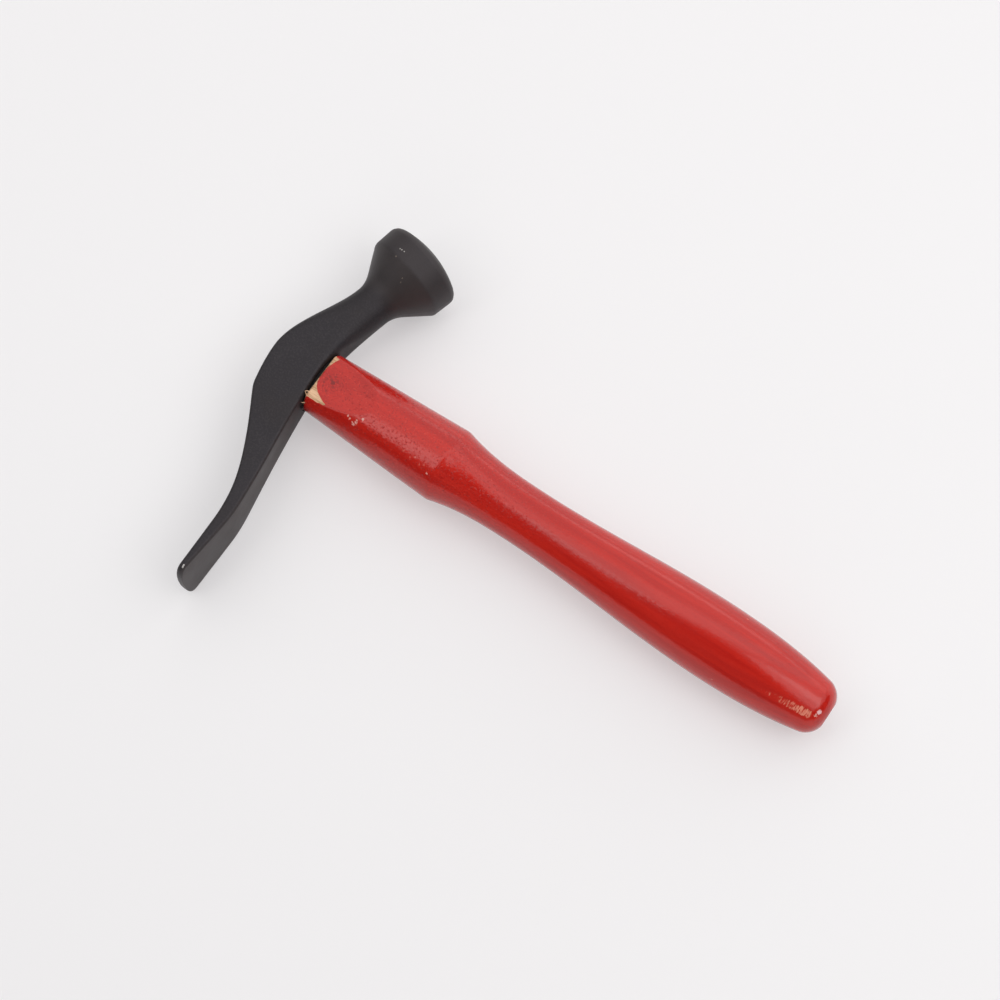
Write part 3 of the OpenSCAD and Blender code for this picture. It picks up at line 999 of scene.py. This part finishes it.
def sliver(name, path, width, thick, material):
    """A thin strip along a path of points, pointed at its far end."""
    rings = []
    last = len(path) - 1
    for j, at in enumerate(path):
        ahead = (path[min(j + 1, last)] - path[max(j - 1, 0)]).normalized()
        side = ahead.cross(Vector((0, 0, 1))).normalized()
        up = side.cross(ahead)
        w = width / 2 * mix(1.0, 0.25, j / last)
        ring = []
        for i in range(SLIVER_POINTS):
            t = 2 * math.pi * i / SLIVER_POINTS
            ring.append(at + side * (w * math.cos(t)) + up * (thick / 2 * math.sin(t)))
        rings.append(ring)
    points, faces = loft(rings)
    dress(new_mesh(name, points, faces, material, SHARP_ROUND))


def curl(start, control, end, steps=6):
    """Points of a bent line from the start to the end."""
    out = []
    for i in range(steps + 1):
        u = i / steps
        out.append(start * (1 - u) ** 2 + control * (2 * u * (1 - u)) + end * u * u)
    return out


def make_slivers():
    first = curl(Vector((11.1, -6.9, 7.2)), Vector((10.2, -6.9, 8.2)), Vector((9.7, -7.7, 8.0)))
    second = curl(Vector((11.0, -8.2, 7.0)), Vector((10.3, -8.3, 8.0)), Vector((9.8, -7.5, 8.3)))
    third = curl(on_handle(0.5, -66, -0.2), on_handle(0.0, -67, 0.5), on_handle(-1.2, -69, 0.3), 10)
    fibres = [("fibre_1", first, 0.5, 0.22), ("fibre_2", second, 0.5, 0.22), ("fibre_3", third, 0.55, 0.25)]
    for name, path, width, thick in fibres:
        sliver(name, path, width, thick, WOOD)
    flakes = [("flake_1", 0.3, -80, 0.9), ("flake_2", -0.2, -87, 0.8), ("flake_3", 0.6, -94, 0.7)]
    for name, x, degrees, length in flakes:
        start = on_handle(x, degrees)
        path = curl(start, start + Vector((-0.3, -0.4, 0.25)), start + Vector((-length, -0.3, 0.1)))
        sliver(name, path, 0.7, 0.3, BLACK)


make_head()
make_handle()
make_tenon()
make_slivers()
for node_name, material in (("kerf_wedge", WOOD), ("steel_wedge", STEEL)):
    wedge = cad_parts[node_name].data
    wedge.materials.clear()
    wedge.materials.append(material)


# Bench, light and camera, placed along the picture's own axes and then turned into the hammer's frame

VIEW_YAW = math.radians(34.504)
VIEW_SHIFT = Vector((0.00834, -0.0200083, 0))
VIEW_TILT = math.radians(18.5)
FOCUS = Vector((0, 0, 0.014))
DISTANCE = 0.72187
LENS_RATIO = 2.15
SENSOR = 36.0
HIGH = 0.8
WALL_LEVEL = 0.75
FILL_LEVEL = 0.65
WORLD_LEVEL = 0.04
BENCH_HALF = 6.0
BENCH_TOP = -0.00005
BENCH_RIM = 0.2
TO_FRAME = Matrix.Rotation(VIEW_YAW, 4, "Z") @ Matrix.Translation(-VIEW_SHIFT)


def make_floor():
    """A wide bench just under the hammer, with a low rim of the same colour far away all round it."""
    corners = [(-1, -1), (1, -1), (1, 1), (-1, 1)]
    points = [(x * BENCH_HALF, y * BENCH_HALF, z) for z in (BENCH_TOP, BENCH_RIM) for x, y in corners]
    faces = [(0, 1, 2, 3)] + [(i, (i + 1) % 4, (i + 1) % 4 + 4, i + 4) for i in range(4)]
    mesh = bpy.data.meshes.new("bench")
    mesh.from_pydata(points, [], faces)
    floor = bpy.data.objects.new("bench", mesh)
    bpy.context.scene.collection.objects.link(floor)
    mesh.materials.append(pale_bench())


def soft_box(name, place, size_x, size_y, level):
    """A rectangular lamp of even brightness. The place is along the picture's axes, in metres."""
    lamp = bpy.data.lights.new(name, "AREA")
    lamp.shape = "RECTANGLE"
    lamp.size = size_x
    lamp.size_y = size_y
    lamp.energy = 4 * level * size_x * size_y
    holder = bpy.data.objects.new(name, lamp)
    bpy.context.scene.collection.objects.link(holder)
    holder.matrix_world = TO_FRAME @ place
    return holder


def make_lights():
    """Boxes overhead that leave the near left side dark, a far pale wall and a faint fill."""
    slant = Matrix.Translation((0.04, -0.045, HIGH)) @ Matrix.Rotation(math.radians(28), 4, "Z")
    overhead = [
        ("ceiling", (0.65, 0.95, 0), 3.5, 1.9, 0.85), ("left", (-0.68, 0.125, -0.01), 0.9, 0.25, 1.0),
        ("right", (0.68, 0.125, -0.01), 1.82, 0.25, 0.4), ("side", (1.075, -0.46, 0), 1.85, 0.9, 0.85),
    ]
    for name, middle, size_x, size_y, level in overhead:
        soft_box(name, slant @ Matrix.Translation(middle), size_x, size_y, level)
    corner = Matrix.Translation((0.525, -0.41, HIGH - 0.02)) @ Matrix.Rotation(math.radians(6), 4, "Z")
    soft_box("corner", corner, 0.8, 0.8, 1.25)
    far = Matrix.Rotation(math.radians(-34.5), 4, "Z") @ Matrix.Translation((0, 2.2, 0.5))
    soft_box("wall", far @ Matrix.Rotation(math.radians(-90), 4, "X"), 4.4, 1.0, WALL_LEVEL)
    near = Matrix.Rotation(math.radians(-12), 4, "Z") @ Matrix.Rotation(math.radians(66), 4, "X")
    fill = soft_box("fill", near @ Matrix.Translation((0, 0, 1.3)), 1.2, 1.2, FILL_LEVEL)
    fill.visible_glossy = False


def make_world():
    world = bpy.data.worlds.new("studio")
    bpy.context.scene.world = world
    world.use_nodes = True
    tree = world.node_tree
    tree.nodes.clear()
    dim = put(tree, "Background", Color=WORLD_DIM, Strength=WORLD_LEVEL)
    out = tree.nodes.new("ShaderNodeOutputWorld")
    tree.links.new(dim.outputs[0], out.inputs["Surface"])


def make_camera():
    data = bpy.data.cameras.new("camera")
    data.sensor_width = SENSOR
    data.lens = SENSOR * LENS_RATIO
    data.clip_start = 0.05
    data.clip_end = 30.0
    camera = bpy.data.objects.new("camera", data)
    bpy.context.scene.collection.objects.link(camera)
    tilt = Matrix.Rotation(VIEW_TILT, 4, "X")
    camera.matrix_world = TO_FRAME @ Matrix.Translation(FOCUS) @ tilt @ Matrix.Translation((0, 0, DISTANCE))
    bpy.context.scene.camera = camera


make_floor()
make_lights()
make_world()
make_camera()
bpy.context.scene.view_settings.view_transform = "Standard"
